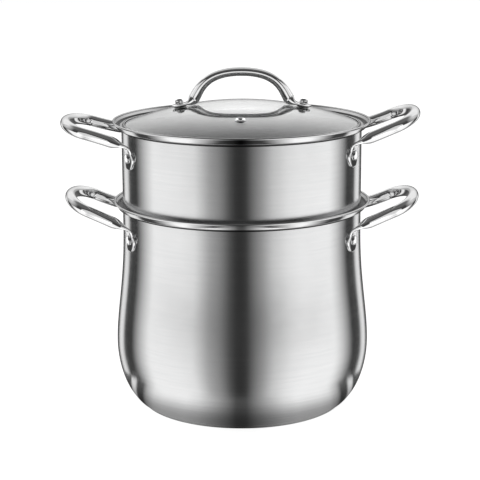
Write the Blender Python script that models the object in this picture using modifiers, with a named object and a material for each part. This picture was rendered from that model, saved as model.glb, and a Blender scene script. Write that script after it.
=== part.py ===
"""A bellied stock pot with a steamer insert and a domed glass lid.

Metres, +Z up. The origin is the centre of the base's underside, +X points at the
right-hand handles and -Y to the front. The steamer stands in the pot's flared rim
and the lid lies in the steamer's, so each of them lifts straight off.
"""

import math

import bmesh
import bpy
from mathutils import Matrix, Vector

# Fits and facets
GAP = 0.0003
ROUND_STEPS = 40
SMALL_STEPS = 10
FACET = math.cos(math.pi / ROUND_STEPS)

# Sheet steel vessels: straight wall and flared pouring rim
WALL = 0.0008
WALL_R = 0.1208
RIM_OUT = 0.0091
FLARE_H = 0.0093
BRIM_W = 0.0025

# Pot body: straight below the rim, swelling to a belly, drawn in to the base
POT_H = 0.211
SWELL_DROP = 0.0159
BELLY_OUT = 0.0084
BELLY_Z = 0.0645
FOOT_IN = 0.0122
FOOT_SWEEP = math.radians(61)

# Sandwich base: an aluminium core inside a steel cap
CAP_IN = 0.0046
CAP_H = 0.0044
CAP_WALL = 0.0008

# Rivets
RIVET_HEAD_R = 0.0048
RIVET_HEAD_H = 0.0022
RIVET_SHANK_R = 0.0026
RIVET_TAIL_R = 0.0038
RIVET_TAIL_T = 0.0009

# Loop handles: one bent tube each, its ends pressed flat into riveted tabs
TUBE_R = 0.0057
TAB_ANGLE = math.radians(26.5)
TAB_R = 0.0118
TAB_T = 0.003
NECK_R = 0.0074
LOOP_REACH = 0.0692
LOOP_HALF_W = 0.0438
LOOP_END = 0.0235
BEND_RISE = 0.0115
BEND_LEAN = 0.0022
BEND_OUT = 0.0045
PRESS_LENGTH = 0.018
TUBE_SIDES = 10

# Each loop handle: rivets below its rim, its loop above them and the tilt of the loop
POT_HANDLE_DROP = 0.0322
POT_HANDLE_RISE = 0.0084
POT_HANDLE_TILT = math.radians(23.4)
STEAMER_LEFT_DROP = 0.0314
STEAMER_LEFT_RISE = 0.0104
STEAMER_LEFT_TILT = math.radians(15.6)
STEAMER_RIGHT_DROP = 0.0284
STEAMER_RIGHT_RISE = 0.0081
STEAMER_RIGHT_TILT = math.radians(23)

# Steamer: its height is from the shoulder that rests in the pot's rim
STEAMER_H = 0.0885
SKIRT_CLEARANCE = 0.0009
SHOULDER_H = 0.0022
SKIRT_DEPTH = 0.0135
FLOOR_CORNER = 0.003
HOLE_D = 0.005
HOLE_PITCH = 0.022
HOLE_MARGIN = 0.012
HOLE_SIDES = 8

# Lid: tempered glass dome in a folded steel band
LID_OUT = 0.0017
LID_CLEARANCE = 0.0006
BAND_T = 0.0005
BAND_LIP = 0.001
BAND_UNDERLIP = 0.0028
EDGE_RISE = 0.0003
DOME_RISE = 0.0225
GLASS_T = 0.004
GLASS_RINGS = 6

# Lid handle: an arched tube with its ends pressed flat into feet
ARCH_RISE = 0.03
ARCH_R = 0.0046
LEG_R = 0.0065
ANKLE_X = 0.051
LEG_ANGLE = math.radians(52)
CROWN_REACH = 0.0395
SHOULDER_REACH = 0.0085
SCREW_X = 0.0613
LID_FOOT_R = 0.0085
LID_FOOT_T = 0.0024
ANKLE_BEND = 0.005
ANKLE_PRESS = 0.011

# Lid hardware
SHANK_R = 0.0022
SLEEVE_CLEARANCE = 0.001
WASHER_R = 0.0062
UPPER_WASHER_T = 0.0008
LOWER_WASHER_T = 0.0012
SCREW_HEAD_R = 0.0046
SCREW_HEAD_H = 0.0022
NUT_R = 0.0042
NUT_H = 0.0034
NUT_DOME = 0.0018
NUT_BORE = 0.0028
VENT_Y = -0.0745
VENT_FLANGE_R = 0.0053
VENT_BARREL_R = 0.0033
VENT_HOLE_R = 0.0018
VENT_FLANGE_T = 0.0008
VENT_CROWN = 0.0006

# Sizes worked out from those above
INNER_R = WALL_R - WALL
RIM_R = WALL_R + RIM_OUT
BELLY_R = WALL_R + BELLY_OUT
FOOT_R = WALL_R - FOOT_IN
CAP_R = FOOT_R - CAP_IN
LID_R = WALL_R + LID_OUT
SKIRT_R = INNER_R * FACET - GAP - SKIRT_CLEARANCE
FLARE_ANGLE = math.atan2(RIM_R - BRIM_W - WALL_R, FLARE_H - WALL)
BASE_TOP = CAP_H + GAP
GLASS_R = INNER_R - LID_CLEARANCE - BAND_T - GAP
DOME_R = (GLASS_R ** 2 + DOME_RISE ** 2) / (2 * DOME_RISE)
DOME_TOP = EDGE_RISE + DOME_RISE
# A facetted underside of the glass hangs a little below its true sphere
UNDER_GAP = GAP + (GLASS_R / GLASS_RINGS) ** 2 / (8 * DOME_R) + DOME_TOP * (1 - FACET)


def start_scene():
    """Empty scene with one collection for the object and one for its cutters."""
    for thing in list(bpy.data.objects):
        bpy.data.objects.remove(thing, do_unlink=True)
    for name in ("stock_pot", "cutters"):
        collection = bpy.data.collections.new(name)
        bpy.context.scene.collection.children.link(collection)
    return bpy.data.collections["stock_pot"], bpy.data.collections["cutters"]


PARTS, CUTTERS = start_scene()


def material(name, colour, metallic, roughness, transmission=0.0):
    made = bpy.data.materials.new(name)
    made.use_nodes = True
    shader = made.node_tree.nodes["Principled BSDF"]
    shader.inputs["Base Color"].default_value = (*colour, 1.0)
    shader.inputs["Metallic"].default_value = metallic
    shader.inputs["Roughness"].default_value = roughness
    shader.inputs["Transmission Weight"].default_value = transmission
    made.diffuse_color = (*colour, 1.0)
    return made


SATIN = ("satin_steel", (0.62, 0.62, 0.63), 1.0, 0.28)
POLISHED = ("polished_steel", (0.75, 0.75, 0.76), 1.0, 0.08)
ALUMINIUM = ("aluminium", (0.80, 0.80, 0.81), 1.0, 0.45)
GLASS = ("clear_glass", (0.93, 0.95, 0.94), 0.0, 0.02, 1.0)
SILICONE = ("clear_silicone", (0.78, 0.78, 0.76), 0.0, 0.50)


def finish_of(name, look):
    """A material of the piece's own, in one of the finishes above."""
    return material(f"{name}_{look[0]}", *look[1:])


def frame_at(name, height, parent=None):
    """An empty on the vessels' axis, from which the pieces of one body are placed."""
    holder = bpy.data.objects.new(name, None)
    holder.location = (0.0, 0.0, height)
    holder.parent = parent
    PARTS.objects.link(holder)
    return holder


def add_object(name, mesh, look, parent, place=None):
    made = bpy.data.objects.new(name, mesh)
    made.parent = parent
    if place is not None:
        made.matrix_basis = place
    if look is None:
        made.hide_render = True
        made.display_type = "WIRE"
        CUTTERS.objects.link(made)
    else:
        mesh.materials.append(finish_of(name, look))
        PARTS.objects.link(made)
    return made


def smooth(mesh, angle=math.radians(35)):
    mesh.shade_smooth()
    mesh.set_sharp_from_angle(angle=angle)


def turned(name, profile, look, parent, closed=False, steps=ROUND_STEPS, place=None):
    """A profile of (radius, height) points, running down its outer side, turned about Z."""
    mesh = bpy.data.meshes.new(name)
    vertices = [(radius, 0.0, height) for radius, height in profile]
    edges = [(i, i + 1) for i in range(len(vertices) - 1)]
    if closed:
        edges.append((len(vertices) - 1, 0))
    mesh.from_pydata(vertices, edges, [])
    made = add_object(name, mesh, look, parent, place)
    screw = made.modifiers.new("turn", "SCREW")
    screw.axis = "Z"
    screw.angle = 2 * math.pi
    screw.steps = steps
    screw.render_steps = steps
    screw.use_smooth_shade = True
    screw.use_merge_vertices = True
    screw.merge_threshold = 0.00001
    return made


def sheet(made, thickness):
    """Gives a turned outer skin its sheet thickness, on the inner side."""
    shell = made.modifiers.new("sheet", "SOLIDIFY")
    shell.thickness = thickness
    shell.offset = -1.0
    shell.use_even_offset = True


def rod(name, radius, low, high, parent, place, sides=SMALL_STEPS):
    """A round cutter along the local Z axis of its place."""
    mesh = bpy.data.meshes.new(name)
    shape = bmesh.new()
    middle = Matrix.Translation((0.0, 0.0, (low + high) / 2))
    bmesh.ops.create_cone(
        shape,
        cap_ends=True,
        segments=sides,
        radius1=radius,
        radius2=radius,
        depth=high - low,
        matrix=middle,
    )
    shape.to_mesh(mesh)
    shape.free()
    return add_object(name, mesh, None, parent, place)


def cut(made, cutter):
    boolean = made.modifiers.new(cutter.name, "BOOLEAN")
    boolean.operation = "DIFFERENCE"
    boolean.solver = "EXACT"
    boolean.object = cutter


def ease(value):
    """0 to 1 with level ends."""
    value = min(max(value, 0.0), 1.0)
    return value * value * (3 - 2 * value)


def mix(start, end, share):
    return start + (end - start) * share


def bezier(start, pull_1, pull_2, end, t):
    """Point and direction at t on a cubic curve."""
    s = 1 - t
    point = start * s ** 3 + pull_1 * (3 * s * s * t) + pull_2 * (3 * s * t * t) + end * t ** 3
    along = (pull_1 - start) * (s * s) + (pull_2 - pull_1) * (2 * s * t) + (end - pull_2) * (t * t)
    return point, along.normalized()


def section(station, sides):
    """Ring of points of a rounded section: an ellipse at power 2, squarer above it."""
    centre, wide, thick, half_w, half_t, power = station
    ring = []
    for i in range(sides):
        turn = 2 * math.pi * i / sides
        across = math.copysign(abs(math.cos(turn)) ** (2 / power), math.cos(turn))
        up = math.copysign(abs(math.sin(turn)) ** (2 / power), math.sin(turn))
        ring.append(centre + wide * (half_w * across) + thick * (half_t * up))
    return ring


def lofted(name, stations, look, parent, place=None, sides=TUBE_SIDES):
    """A solid through unlike sections, capped at both ends."""
    shape = bmesh.new()
    rings = [[shape.verts.new(point) for point in section(s, sides)] for s in stations]
    for ring, after in zip(rings, rings[1:]):
        for i in range(sides):
            j = (i + 1) % sides
            shape.faces.new((ring[i], after[i], after[j], ring[j]))
    shape.faces.new(rings[0])
    shape.faces.new(reversed(rings[-1]))
    bmesh.ops.recalc_face_normals(shape, faces=shape.faces)
    mesh = bpy.data.meshes.new(name)
    shape.to_mesh(mesh)
    shape.free()
    smooth(mesh)
    return add_object(name, mesh, look, parent, place)


def pour_rim(rim_z):
    """Outer skin of a flared rim, from the lip down to the straight wall."""
    return [
        (RIM_R, rim_z - WALL),
        (RIM_R - BRIM_W, rim_z - WALL),
        (WALL_R, rim_z - FLARE_H),
    ]


def flare_seat(rim_z, radius):
    """Height at which an edge of this radius rests inside a flare, the gap included."""
    inward = radius - WALL_R + (WALL + GAP) / math.cos(FLARE_ANGLE)
    return rim_z - FLARE_H + inward / math.tan(FLARE_ANGLE)


def swell(share):
    """Pot's outer wall, from the end of the straight part (0) to the widest ring (1)."""
    height = mix(POT_H - SWELL_DROP, BELLY_Z, share)
    return mix(WALL_R, BELLY_R, 4 * share ** 3 - 3 * share ** 4), height


def pot_wall_radius(height):
    """Pot's outer radius at a height above the belly."""
    share = (POT_H - SWELL_DROP - height) / (POT_H - SWELL_DROP - BELLY_Z)
    return swell(min(max(share, 0.0), 1.0))[0]


def foot_curve(share):
    """Arc of an ellipse from the widest ring (0) in under the pot to its flat bottom (1)."""
    angle = FOOT_SWEEP * share
    run = (BELLY_R - FOOT_R) / (1 - math.cos(FOOT_SWEEP))
    rise = (BELLY_Z - BASE_TOP) / math.sin(FOOT_SWEEP)
    return BELLY_R - run * (1 - math.cos(angle)), BELLY_Z - rise * math.sin(angle)


def make_pot_body(parent):
    swell_points = 6
    foot_points = 6
    skin = pour_rim(POT_H)
    skin += [swell(i / swell_points) for i in range(swell_points + 1)]
    skin += [foot_curve(i / foot_points) for i in range(1, foot_points + 1)]
    skin.append((0.0, BASE_TOP))
    body = turned("pot_body", skin, SATIN, parent)
    sheet(body, WALL)
    return body


def make_base(parent):
    edge = CAP_WALL
    skin = [
        (CAP_R, CAP_H),
        (CAP_R, edge),
        (CAP_R - edge, 0.0),
        (0.0, 0.0),
    ]
    cap = turned("pot_base_cap", skin, SATIN, parent)
    sheet(cap, CAP_WALL)
    low = CAP_WALL + GAP
    core_r = CAP_R - CAP_WALL - GAP
    core = [
        (0.0, CAP_H),
        (core_r, CAP_H),
        (core_r, low + edge),
        (core_r - edge, low),
        (0.0, low),
    ]
    turned("pot_base_core", core, ALUMINIUM, parent)


def rivet_place(side, lengthwise, radius, height):
    """Frame on a tab's outer face, with local Z pointing straight away from the wall."""
    azimuth = TAB_ANGLE * lengthwise
    if side < 0:
        azimuth = math.pi - azimuth
    point = Vector((radius * math.cos(azimuth), radius * math.sin(azimuth), height))
    turn = Matrix.Rotation(azimuth, 4, "Z") @ Matrix.Rotation(math.pi / 2, 4, "Y")
    return Matrix.Translation(point) @ turn


def tail_face(wall_r, rivet_z):
    """Radius at which a rivet's tail lies against the inner side of the wall."""
    return (wall_r(rivet_z + RIVET_TAIL_R) - WALL) * FACET - GAP


def make_rivet(name, length, parent, place):
    """Domed head outside, shank through tab and wall, upset tail inside."""
    profile = [(0.0, RIVET_HEAD_H)]
    for i in (1, 2, 3):
        angle = math.pi / 2 * i / 3
        profile.append((RIVET_HEAD_R * math.sin(angle), RIVET_HEAD_H * math.cos(angle) ** 0.8))
    profile[-1] = (RIVET_HEAD_R, 0.0)
    profile += [
        (RIVET_SHANK_R, 0.0),
        (RIVET_SHANK_R, -length),
        (RIVET_TAIL_R, -length),
        (RIVET_TAIL_R, -length - RIVET_TAIL_T),
        (0.0, -length - RIVET_TAIL_T),
    ]
    turned(name, profile, POLISHED, parent, steps=SMALL_STEPS, place=place)


def loop_half(seat, rivet_z, rise, tilt):
    """Stations from one tab's lower end to the tip of the loop, at +Y of a right-hand handle."""
    up = Vector((0.0, 0.0, 1.0))
    away = Vector((math.cos(TAB_ANGLE), math.sin(TAB_ANGLE), 0.0))
    along_wall = Vector((math.sin(TAB_ANGLE), -math.cos(TAB_ANGLE), 0.0))
    tab = away * (seat + TAB_T / 2)
    stations = []
    for degrees in (22, 46, 68, 90):
        turn = math.radians(degrees)
        centre = tab + up * (rivet_z - TAB_R * math.cos(turn))
        stations.append((centre, along_wall, -away, TAB_R * math.sin(turn), TAB_T / 2, 4.0))

    # The loop lies in a plane that rises outwards from the tabs
    outward = Vector((math.cos(tilt), 0.0, math.sin(tilt)))
    normal = Vector((-math.sin(tilt), 0.0, math.cos(tilt)))
    corner = tab + away * BEND_LEAN + up * (rivet_z + BEND_RISE)
    root = Vector((tab.x, 0.0, rivet_z + rise))
    arm_end = root + outward * (LOOP_REACH - LOOP_END) + Vector((0.0, LOOP_HALF_W, 0.0))
    arm_length = (arm_end - corner).length
    heading = (arm_end - outward * (arm_length / 3) - corner).normalized()
    bend_start = tab + up * (rivet_z + RIVET_HEAD_R)
    bend_end = corner + heading * BEND_OUT
    bend = (bend_start, mix(bend_start, corner, 0.9), mix(bend_end, corner, 0.9), bend_end)
    arm_pull = bend_end + heading * (arm_length / 3)
    arm = (bend_end, arm_pull, arm_end - outward * (arm_length / 3), arm_end)
    path = [bezier(*bend, i / 4) for i in range(5)]
    path += [bezier(*arm, (i / 5) ** 1.3) for i in range(1, 6)]

    # From the tab on, the flat strip swings round to the arm and swells into the tube
    travelled = 0.0
    before = path[0][0]
    strip = BEND_RISE - RIVET_HEAD_R
    for point, direction in path:
        travelled += (point - before).length
        before = point
        swing = ease((travelled - strip / 2) / PRESS_LENGTH)
        swell_share = ease((travelled - strip) / PRESS_LENGTH)
        wide = mix(along_wall, direction.cross(normal), swing).normalized()
        thick = wide.cross(direction).normalized()
        half_w = mix(NECK_R, TUBE_R, swing)
        half_t = mix(TAB_T / 2, TUBE_R, swell_share)
        stations.append((point, wide, thick, half_w, half_t, mix(4.0, 2.0, swell_share)))

    end_points = 5
    for i in range(1, end_points + 1):
        turn = math.pi / 2 * i / end_points
        reach = LOOP_REACH - LOOP_END + LOOP_END * math.sin(turn)
        point = root + outward * reach + Vector((0.0, LOOP_HALF_W * math.cos(turn), 0.0))
        sideways = Vector((0.0, LOOP_HALF_W * math.sin(turn), 0.0))
        direction = outward * (LOOP_END * math.cos(turn)) - sideways
        wide = direction.normalized().cross(normal)
        stations.append((point, wide, normal, TUBE_R, TUBE_R, 2.0))
    return stations


def mirrored(stations, axis):
    """The stations of the other half, in reverse, with one coordinate turned round."""
    flip = Vector((1.0, 1.0, 1.0))
    flip[axis] = -1.0
    turned_round = []
    for centre, wide, thick, half_w, half_t, power in reversed(stations):
        turned_round.append((centre * flip, wide * flip, thick * flip, half_w, half_t, power))
    return turned_round


def make_loop_handle(vessel, side, wall_r, rivet_z, rise, tilt, body, parent):
    """One loop handle with its two rivets, on the left (-1) or right (+1) of a vessel."""
    where = "right" if side > 0 else "left"
    seat = wall_r(rivet_z - TAB_R) + GAP
    half = loop_half(seat, rivet_z, rise, tilt)
    stations = half + mirrored(half[:-1], 1)
    turn = Matrix.Identity(4) if side > 0 else Matrix.Rotation(math.pi, 4, "Z")
    handle = lofted(f"{vessel}_handle_{where}", stations, POLISHED, parent, turn)
    face = seat + TAB_T + GAP
    length = face - tail_face(wall_r, rivet_z)
    for lengthwise, end in ((-1, "front"), (1, "back")):
        place = rivet_place(side, lengthwise, face, rivet_z)
        name = f"{vessel}_rivet_{where}_{end}"
        make_rivet(name, length, parent, place)
        depth = length + RIVET_TAIL_T
        hole = rod(f"{name}_hole", RIVET_SHANK_R + GAP, -depth, RIVET_HEAD_H, parent, place)
        cut(handle, hole)
        cut(body, hole)


def make_steamer_body(parent):
    skin = pour_rim(STEAMER_H)
    floor_z = -SKIRT_DEPTH
    skin += [
        (WALL_R, 0.0),
        (SKIRT_R, -SHOULDER_H),
        (SKIRT_R, floor_z + FLOOR_CORNER),
        (SKIRT_R - FLOOR_CORNER * 0.3, floor_z + FLOOR_CORNER * 0.3),
        (SKIRT_R - FLOOR_CORNER, floor_z),
        (0.0, floor_z),
    ]
    body = turned("steamer_body", skin, SATIN, parent)
    sheet(body, WALL)
    cut(body, make_hole_pattern(floor_z, parent))
    return body


def make_hole_pattern(floor_z, parent):
    """One cutter for the floor's steam holes: rings of six more holes each, one pitch apart."""
    shape = bmesh.new()
    rings = int((SKIRT_R - FLOOR_CORNER - HOLE_MARGIN) / HOLE_PITCH)
    for ring in range(rings + 1):
        count = max(6 * ring, 1)
        for i in range(count):
            turn = 2 * math.pi * (i + 1 / 3) / count
            x = ring * HOLE_PITCH * math.cos(turn)
            y = ring * HOLE_PITCH * math.sin(turn)
            middle = Matrix.Translation((x, y, floor_z + WALL / 2))
            bmesh.ops.create_cone(
                shape,
                cap_ends=True,
                segments=HOLE_SIDES,
                radius1=HOLE_D / 2,
                radius2=HOLE_D / 2,
                depth=4 * WALL,
                matrix=middle @ Matrix.Rotation(math.pi / HOLE_SIDES, 4, "Z"),
            )
    mesh = bpy.data.meshes.new("steam_holes")
    shape.to_mesh(mesh)
    shape.free()
    return add_object("steam_holes", mesh, None, parent)


def dome_height(radius, sphere_r=DOME_R):
    """Height of the glass above the lid's seat, on its outer sphere or a smaller one inside it."""
    return DOME_TOP - DOME_R + math.sqrt(sphere_r ** 2 - radius ** 2)


def make_lid_glass(parent):
    inner_r = DOME_R - GLASS_T
    radii = [GLASS_R * i / GLASS_RINGS for i in range(GLASS_RINGS + 1)]
    profile = [(radius, dome_height(radius)) for radius in radii]
    profile += [(radius, dome_height(radius, inner_r)) for radius in reversed(radii)]
    return turned("lid_glass", profile, GLASS, parent)


def make_lid_band(parent):
    """Folded band: a flange that lies in the rim, and a channel that grips the glass edge."""
    inside = GLASS_R + GAP
    outside = inside + BAND_T
    lip_r = GLASS_R - BAND_LIP
    slope_gap = GAP * 1.1
    lip_under = dome_height(lip_r) + slope_gap
    fold_under = dome_height(GLASS_R) + slope_gap
    floor_top = dome_height(GLASS_R, DOME_R - GLASS_T) - GAP
    profile = [
        (lip_r, lip_under + BAND_T),
        (inside, fold_under + BAND_T),
        (outside, BAND_T),
        (LID_R - BAND_T, BAND_T),
        (LID_R, BAND_T / 2),
        (LID_R, 0.0),
        (outside, 0.0),
        (outside, floor_top - BAND_T),
        (GLASS_R - BAND_UNDERLIP, floor_top - BAND_T),
        (GLASS_R - BAND_UNDERLIP, floor_top),
        (inside, floor_top),
        (inside, fold_under),
        (lip_r, lip_under),
    ]
    turned("lid_rim_band", profile, POLISHED, parent, closed=True)


def dome_place(lean, axis):
    """Frame on the glass's outer face with local Z square to it, leaning from upright."""
    centre = Matrix.Translation((0.0, 0.0, DOME_TOP - DOME_R))
    return centre @ Matrix.Rotation(lean, 4, axis) @ Matrix.Translation((0.0, 0.0, DOME_R))


def foot_level():
    """Height of the feet's mid plane above the glass."""
    return GAP + UPPER_WASHER_T + GAP + LID_FOOT_T / 2


def arch_half():
    """Stations from the right foot's outer end up to the crown of the lid handle."""
    across = Vector((0.0, 1.0, 0.0))
    lean = math.asin(SCREW_X / DOME_R)
    square = Vector((math.sin(lean), 0.0, math.cos(lean)))
    inward = Vector((-math.cos(lean), 0.0, math.sin(lean)))
    screw = Vector((SCREW_X, 0.0, dome_height(SCREW_X))) + square * foot_level()
    stations = []
    for degrees in (22, 46, 68, 90):
        turn = math.radians(degrees)
        centre = screw - inward * (LID_FOOT_R * math.cos(turn))
        stations.append((centre, across, square, LID_FOOT_R * math.sin(turn), LID_FOOT_T / 2, 4.0))

    corner = screw + inward * ((screw.x - ANKLE_X) / math.cos(lean))
    leg = Vector((-math.cos(LEG_ANGLE), 0.0, math.sin(LEG_ANGLE)))
    bend_start = mix(corner, screw, min(ANKLE_BEND / (corner - screw).length, 0.7))
    bend_end = corner + leg * ANKLE_BEND
    crown = Vector((0.0, 0.0, DOME_TOP + ARCH_RISE))
    bend = (bend_start, mix(bend_start, corner, 0.6), mix(bend_end, corner, 0.6), bend_end)
    crown_pull = crown + Vector((CROWN_REACH, 0.0, 0.0))
    arch = (bend_end, bend_end + leg * SHOULDER_REACH, crown_pull, crown)
    path = [bezier(*bend, i / 4) for i in range(5)]
    path += [bezier(*arch, i / 9) for i in range(1, 10)]
    travelled = 0.0
    before = path[0][0]
    for i, (point, direction) in enumerate(path):
        travelled += (point - before).length
        before = point
        press = ease(travelled / ANKLE_PRESS)
        tube = mix(LEG_R, ARCH_R, ease(i / (len(path) - 1)))
        half_w = mix(LID_FOOT_R * 0.9, tube, press)
        half_t = mix(LID_FOOT_T / 2, tube, press)
        thick = across.cross(direction).normalized()
        stations.append((point, across, thick, half_w, half_t, mix(4.0, 2.0, press)))
    return stations


def make_lid_handle(glass, parent):
    half = arch_half()
    handle = lofted("lid_handle", half + mirrored(half[:-1], 0), POLISHED, parent)
    lean = math.asin(SCREW_X / DOME_R)
    for side, where in ((-1, "left"), (1, "right")):
        place = dome_place(side * lean, "Y")
        make_lid_fixing(where, parent, place)
        high = foot_level() + LID_FOOT_T
        through_foot = rod(f"foot_hole_{where}", SHANK_R + GAP, GAP, high, parent, place)
        cut(handle, through_foot)
        hole_r = SHANK_R + SLEEVE_CLEARANCE
        cut(glass, rod(f"glass_hole_{where}", hole_r, -2 * GLASS_T, GLASS_T, parent, place))


def ring_profile(inner, outer, low, high):
    return [(inner, high), (outer, high), (outer, low), (inner, low)]


def make_lid_fixing(where, parent, place):
    """Washers, screw from below and domed cap nut on top, at one foot of the handle."""
    bore = SHANK_R + GAP
    upper = ring_profile(bore, WASHER_R, GAP, GAP + UPPER_WASHER_T)
    lower_top = -GLASS_T - UNDER_GAP
    head_top = lower_top - LOWER_WASHER_T - GAP
    lower = ring_profile(bore, WASHER_R, lower_top - LOWER_WASHER_T, lower_top)
    nut_base = foot_level() + LID_FOOT_T / 2 + GAP
    tip = nut_base + NUT_BORE
    screw = [
        (0.0, tip),
        (SHANK_R, tip),
        (SHANK_R, head_top),
        (SCREW_HEAD_R, head_top),
        (SCREW_HEAD_R, head_top - SCREW_HEAD_H * 0.5),
        (SCREW_HEAD_R * 0.7, head_top - SCREW_HEAD_H),
        (0.0, head_top - SCREW_HEAD_H),
    ]
    nut = [
        (0.0, nut_base + NUT_H + NUT_DOME),
        (NUT_R * 0.5, nut_base + NUT_H + NUT_DOME * 0.87),
        (NUT_R * 0.87, nut_base + NUT_H + NUT_DOME * 0.5),
        (NUT_R, nut_base + NUT_H),
        (NUT_R, nut_base),
        (bore, nut_base),
        (bore, tip + GAP),
        (0.0, tip + GAP),
    ]
    round_piece = {"steps": SMALL_STEPS, "place": place}
    turned(f"lid_washer_upper_{where}", upper, SILICONE, parent, closed=True, **round_piece)
    turned(f"lid_washer_lower_{where}", lower, SILICONE, parent, closed=True, **round_piece)
    turned(f"lid_screw_{where}", screw, POLISHED, parent, **round_piece)
    turned(f"lid_cap_nut_{where}", nut, POLISHED, parent, **round_piece)


def make_vent(glass, parent):
    """Rolled steel eyelet through the glass, with the steam hole down its middle."""
    lean = math.asin(VENT_Y / DOME_R)
    place = dome_place(-lean, "X")
    low_r = (VENT_BARREL_R + VENT_FLANGE_R) / 2
    bottom = -GLASS_T - UNDER_GAP
    profile = [
        (VENT_HOLE_R, GAP + VENT_FLANGE_T * 0.5),
        (VENT_BARREL_R, GAP + VENT_FLANGE_T + VENT_CROWN),
        (VENT_FLANGE_R, GAP + VENT_FLANGE_T * 0.5),
        (VENT_FLANGE_R, GAP),
        (VENT_BARREL_R, GAP),
        (VENT_BARREL_R, bottom),
        (low_r, bottom),
        (low_r, bottom - VENT_FLANGE_T),
        (VENT_HOLE_R, bottom - VENT_FLANGE_T),
    ]
    turned("lid_vent_grommet", profile, POLISHED, parent, True, SMALL_STEPS, place)
    hole_r = VENT_BARREL_R + GAP
    cut(glass, rod("vent_hole", hole_r, -2 * GLASS_T, GLASS_T, parent, place))


def straight_wall(height):
    return WALL_R


def build():
    pot = frame_at("pot", 0.0)
    steamer = frame_at("steamer_lift", flare_seat(POT_H, WALL_R), pot)
    lid = frame_at("lid_lift", flare_seat(STEAMER_H, LID_R), steamer)

    pot_body = make_pot_body(pot)
    make_base(pot)
    rivet_z = POT_H - POT_HANDLE_DROP
    for side in (-1, 1):
        shape = (POT_HANDLE_RISE, POT_HANDLE_TILT)
        make_loop_handle("pot", side, pot_wall_radius, rivet_z, *shape, pot_body, pot)

    steamer_body = make_steamer_body(steamer)
    for side, drop, rise, tilt in (
        (-1, STEAMER_LEFT_DROP, STEAMER_LEFT_RISE, STEAMER_LEFT_TILT),
        (1, STEAMER_RIGHT_DROP, STEAMER_RIGHT_RISE, STEAMER_RIGHT_TILT),
    ):
        rivet_z = STEAMER_H - drop
        shape = (rise, tilt)
        make_loop_handle("steamer", side, straight_wall, rivet_z, *shape, steamer_body, steamer)

    glass = make_lid_glass(lid)
    make_lid_band(lid)
    make_lid_handle(glass, lid)
    make_vent(glass, lid)


build()
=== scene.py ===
"""A stock pot with a steamer insert and a glass lid, dressed for the picture."""
import math

import bmesh
import bpy
from mathutils import Matrix, Vector


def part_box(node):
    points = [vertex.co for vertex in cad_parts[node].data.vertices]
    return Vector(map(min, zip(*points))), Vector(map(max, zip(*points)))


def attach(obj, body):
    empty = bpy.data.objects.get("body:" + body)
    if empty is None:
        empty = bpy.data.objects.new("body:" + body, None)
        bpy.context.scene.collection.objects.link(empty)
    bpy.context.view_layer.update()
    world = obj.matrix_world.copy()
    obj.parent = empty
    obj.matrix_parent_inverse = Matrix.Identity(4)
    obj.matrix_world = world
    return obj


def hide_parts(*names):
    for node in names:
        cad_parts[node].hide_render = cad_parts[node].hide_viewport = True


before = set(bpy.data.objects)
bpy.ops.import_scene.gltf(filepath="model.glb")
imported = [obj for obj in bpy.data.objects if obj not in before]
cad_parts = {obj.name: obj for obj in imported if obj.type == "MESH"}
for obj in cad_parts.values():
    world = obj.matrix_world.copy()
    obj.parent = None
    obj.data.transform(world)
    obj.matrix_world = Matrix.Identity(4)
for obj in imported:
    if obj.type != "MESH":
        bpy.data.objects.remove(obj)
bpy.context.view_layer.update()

# Sizes of the solids, in metres, and angles in radians
GAP = 0.0003
WALL = 0.0008
WALL_R = 0.1208
RIM_R = 0.1299
FLARE_H = 0.0093
POT_H = 0.211
SWELL_DROP = 0.0159
BELLY_R = 0.1292
BELLY_Z = 0.0645
FOOT_R = 0.1086
FOOT_SWEEP = math.radians(61)
CAP_R = 0.104
CAP_H = 0.0044
CAP_WALL = 0.0008
BASE_TOP = CAP_H + GAP
RIVET_HEAD_R = 0.0048
RIVET_HEAD_H = 0.0022
RIVET_SHANK_R = 0.0026
RIVET_TAIL_R = 0.0038
RIVET_TAIL_T = 0.0009
TUBE_R = 0.0057
TAB_ANGLE = math.radians(26.5)
TAB_R = 0.0118
TAB_T = 0.003
NECK_R = 0.0074
LOOP_REACH = 0.0692
LOOP_HALF_W = 0.0438
LOOP_END = 0.0235
BEND_RISE = 0.0115
BEND_LEAN = 0.0022
BEND_OUT = 0.0045
PRESS_LENGTH = 0.018
STEAMER_H = 0.0885
SHOULDER_H = 0.0022
SKIRT_CLEARANCE = 0.0009
SKIRT_DEPTH = 0.0135
FLOOR_CORNER = 0.003
HOLE_D = 0.005
HOLE_PITCH = 0.022
HOLE_MARGIN = 0.012
LID_R = 0.1225
LID_CLEARANCE = 0.0006
BAND_T = 0.0005
BAND_LIP = 0.001
BAND_UNDERLIP = 0.0028
EDGE_RISE = 0.0003
DOME_RISE = 0.0225
GLASS_T = 0.004
ARCH_RISE = 0.03
ARCH_R = 0.0046
LEG_R = 0.0065
ANKLE_X = 0.051
LEG_ANGLE = math.radians(52)
CROWN_REACH = 0.0395
SHOULDER_REACH = 0.0085
SCREW_X = 0.0613
LID_FOOT_R = 0.0085
LID_FOOT_T = 0.0024
ANKLE_BEND = 0.005
ANKLE_PRESS = 0.011
SHANK_R = 0.0022
SLEEVE_CLEARANCE = 0.001
WASHER_R = 0.0062
UPPER_WASHER_T = 0.0008
LOWER_WASHER_T = 0.0012
SCREW_HEAD_R = 0.0046
SCREW_HEAD_H = 0.0022
NUT_R = 0.0042
NUT_H = 0.0034
NUT_DOME = 0.0018
VENT_Y = -0.0745
VENT_FLANGE_R = 0.0053
VENT_BARREL_R = 0.0033
VENT_HOLE_R = 0.0018
VENT_FLANGE_T = 0.0008
VENT_CROWN = 0.0006

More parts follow.
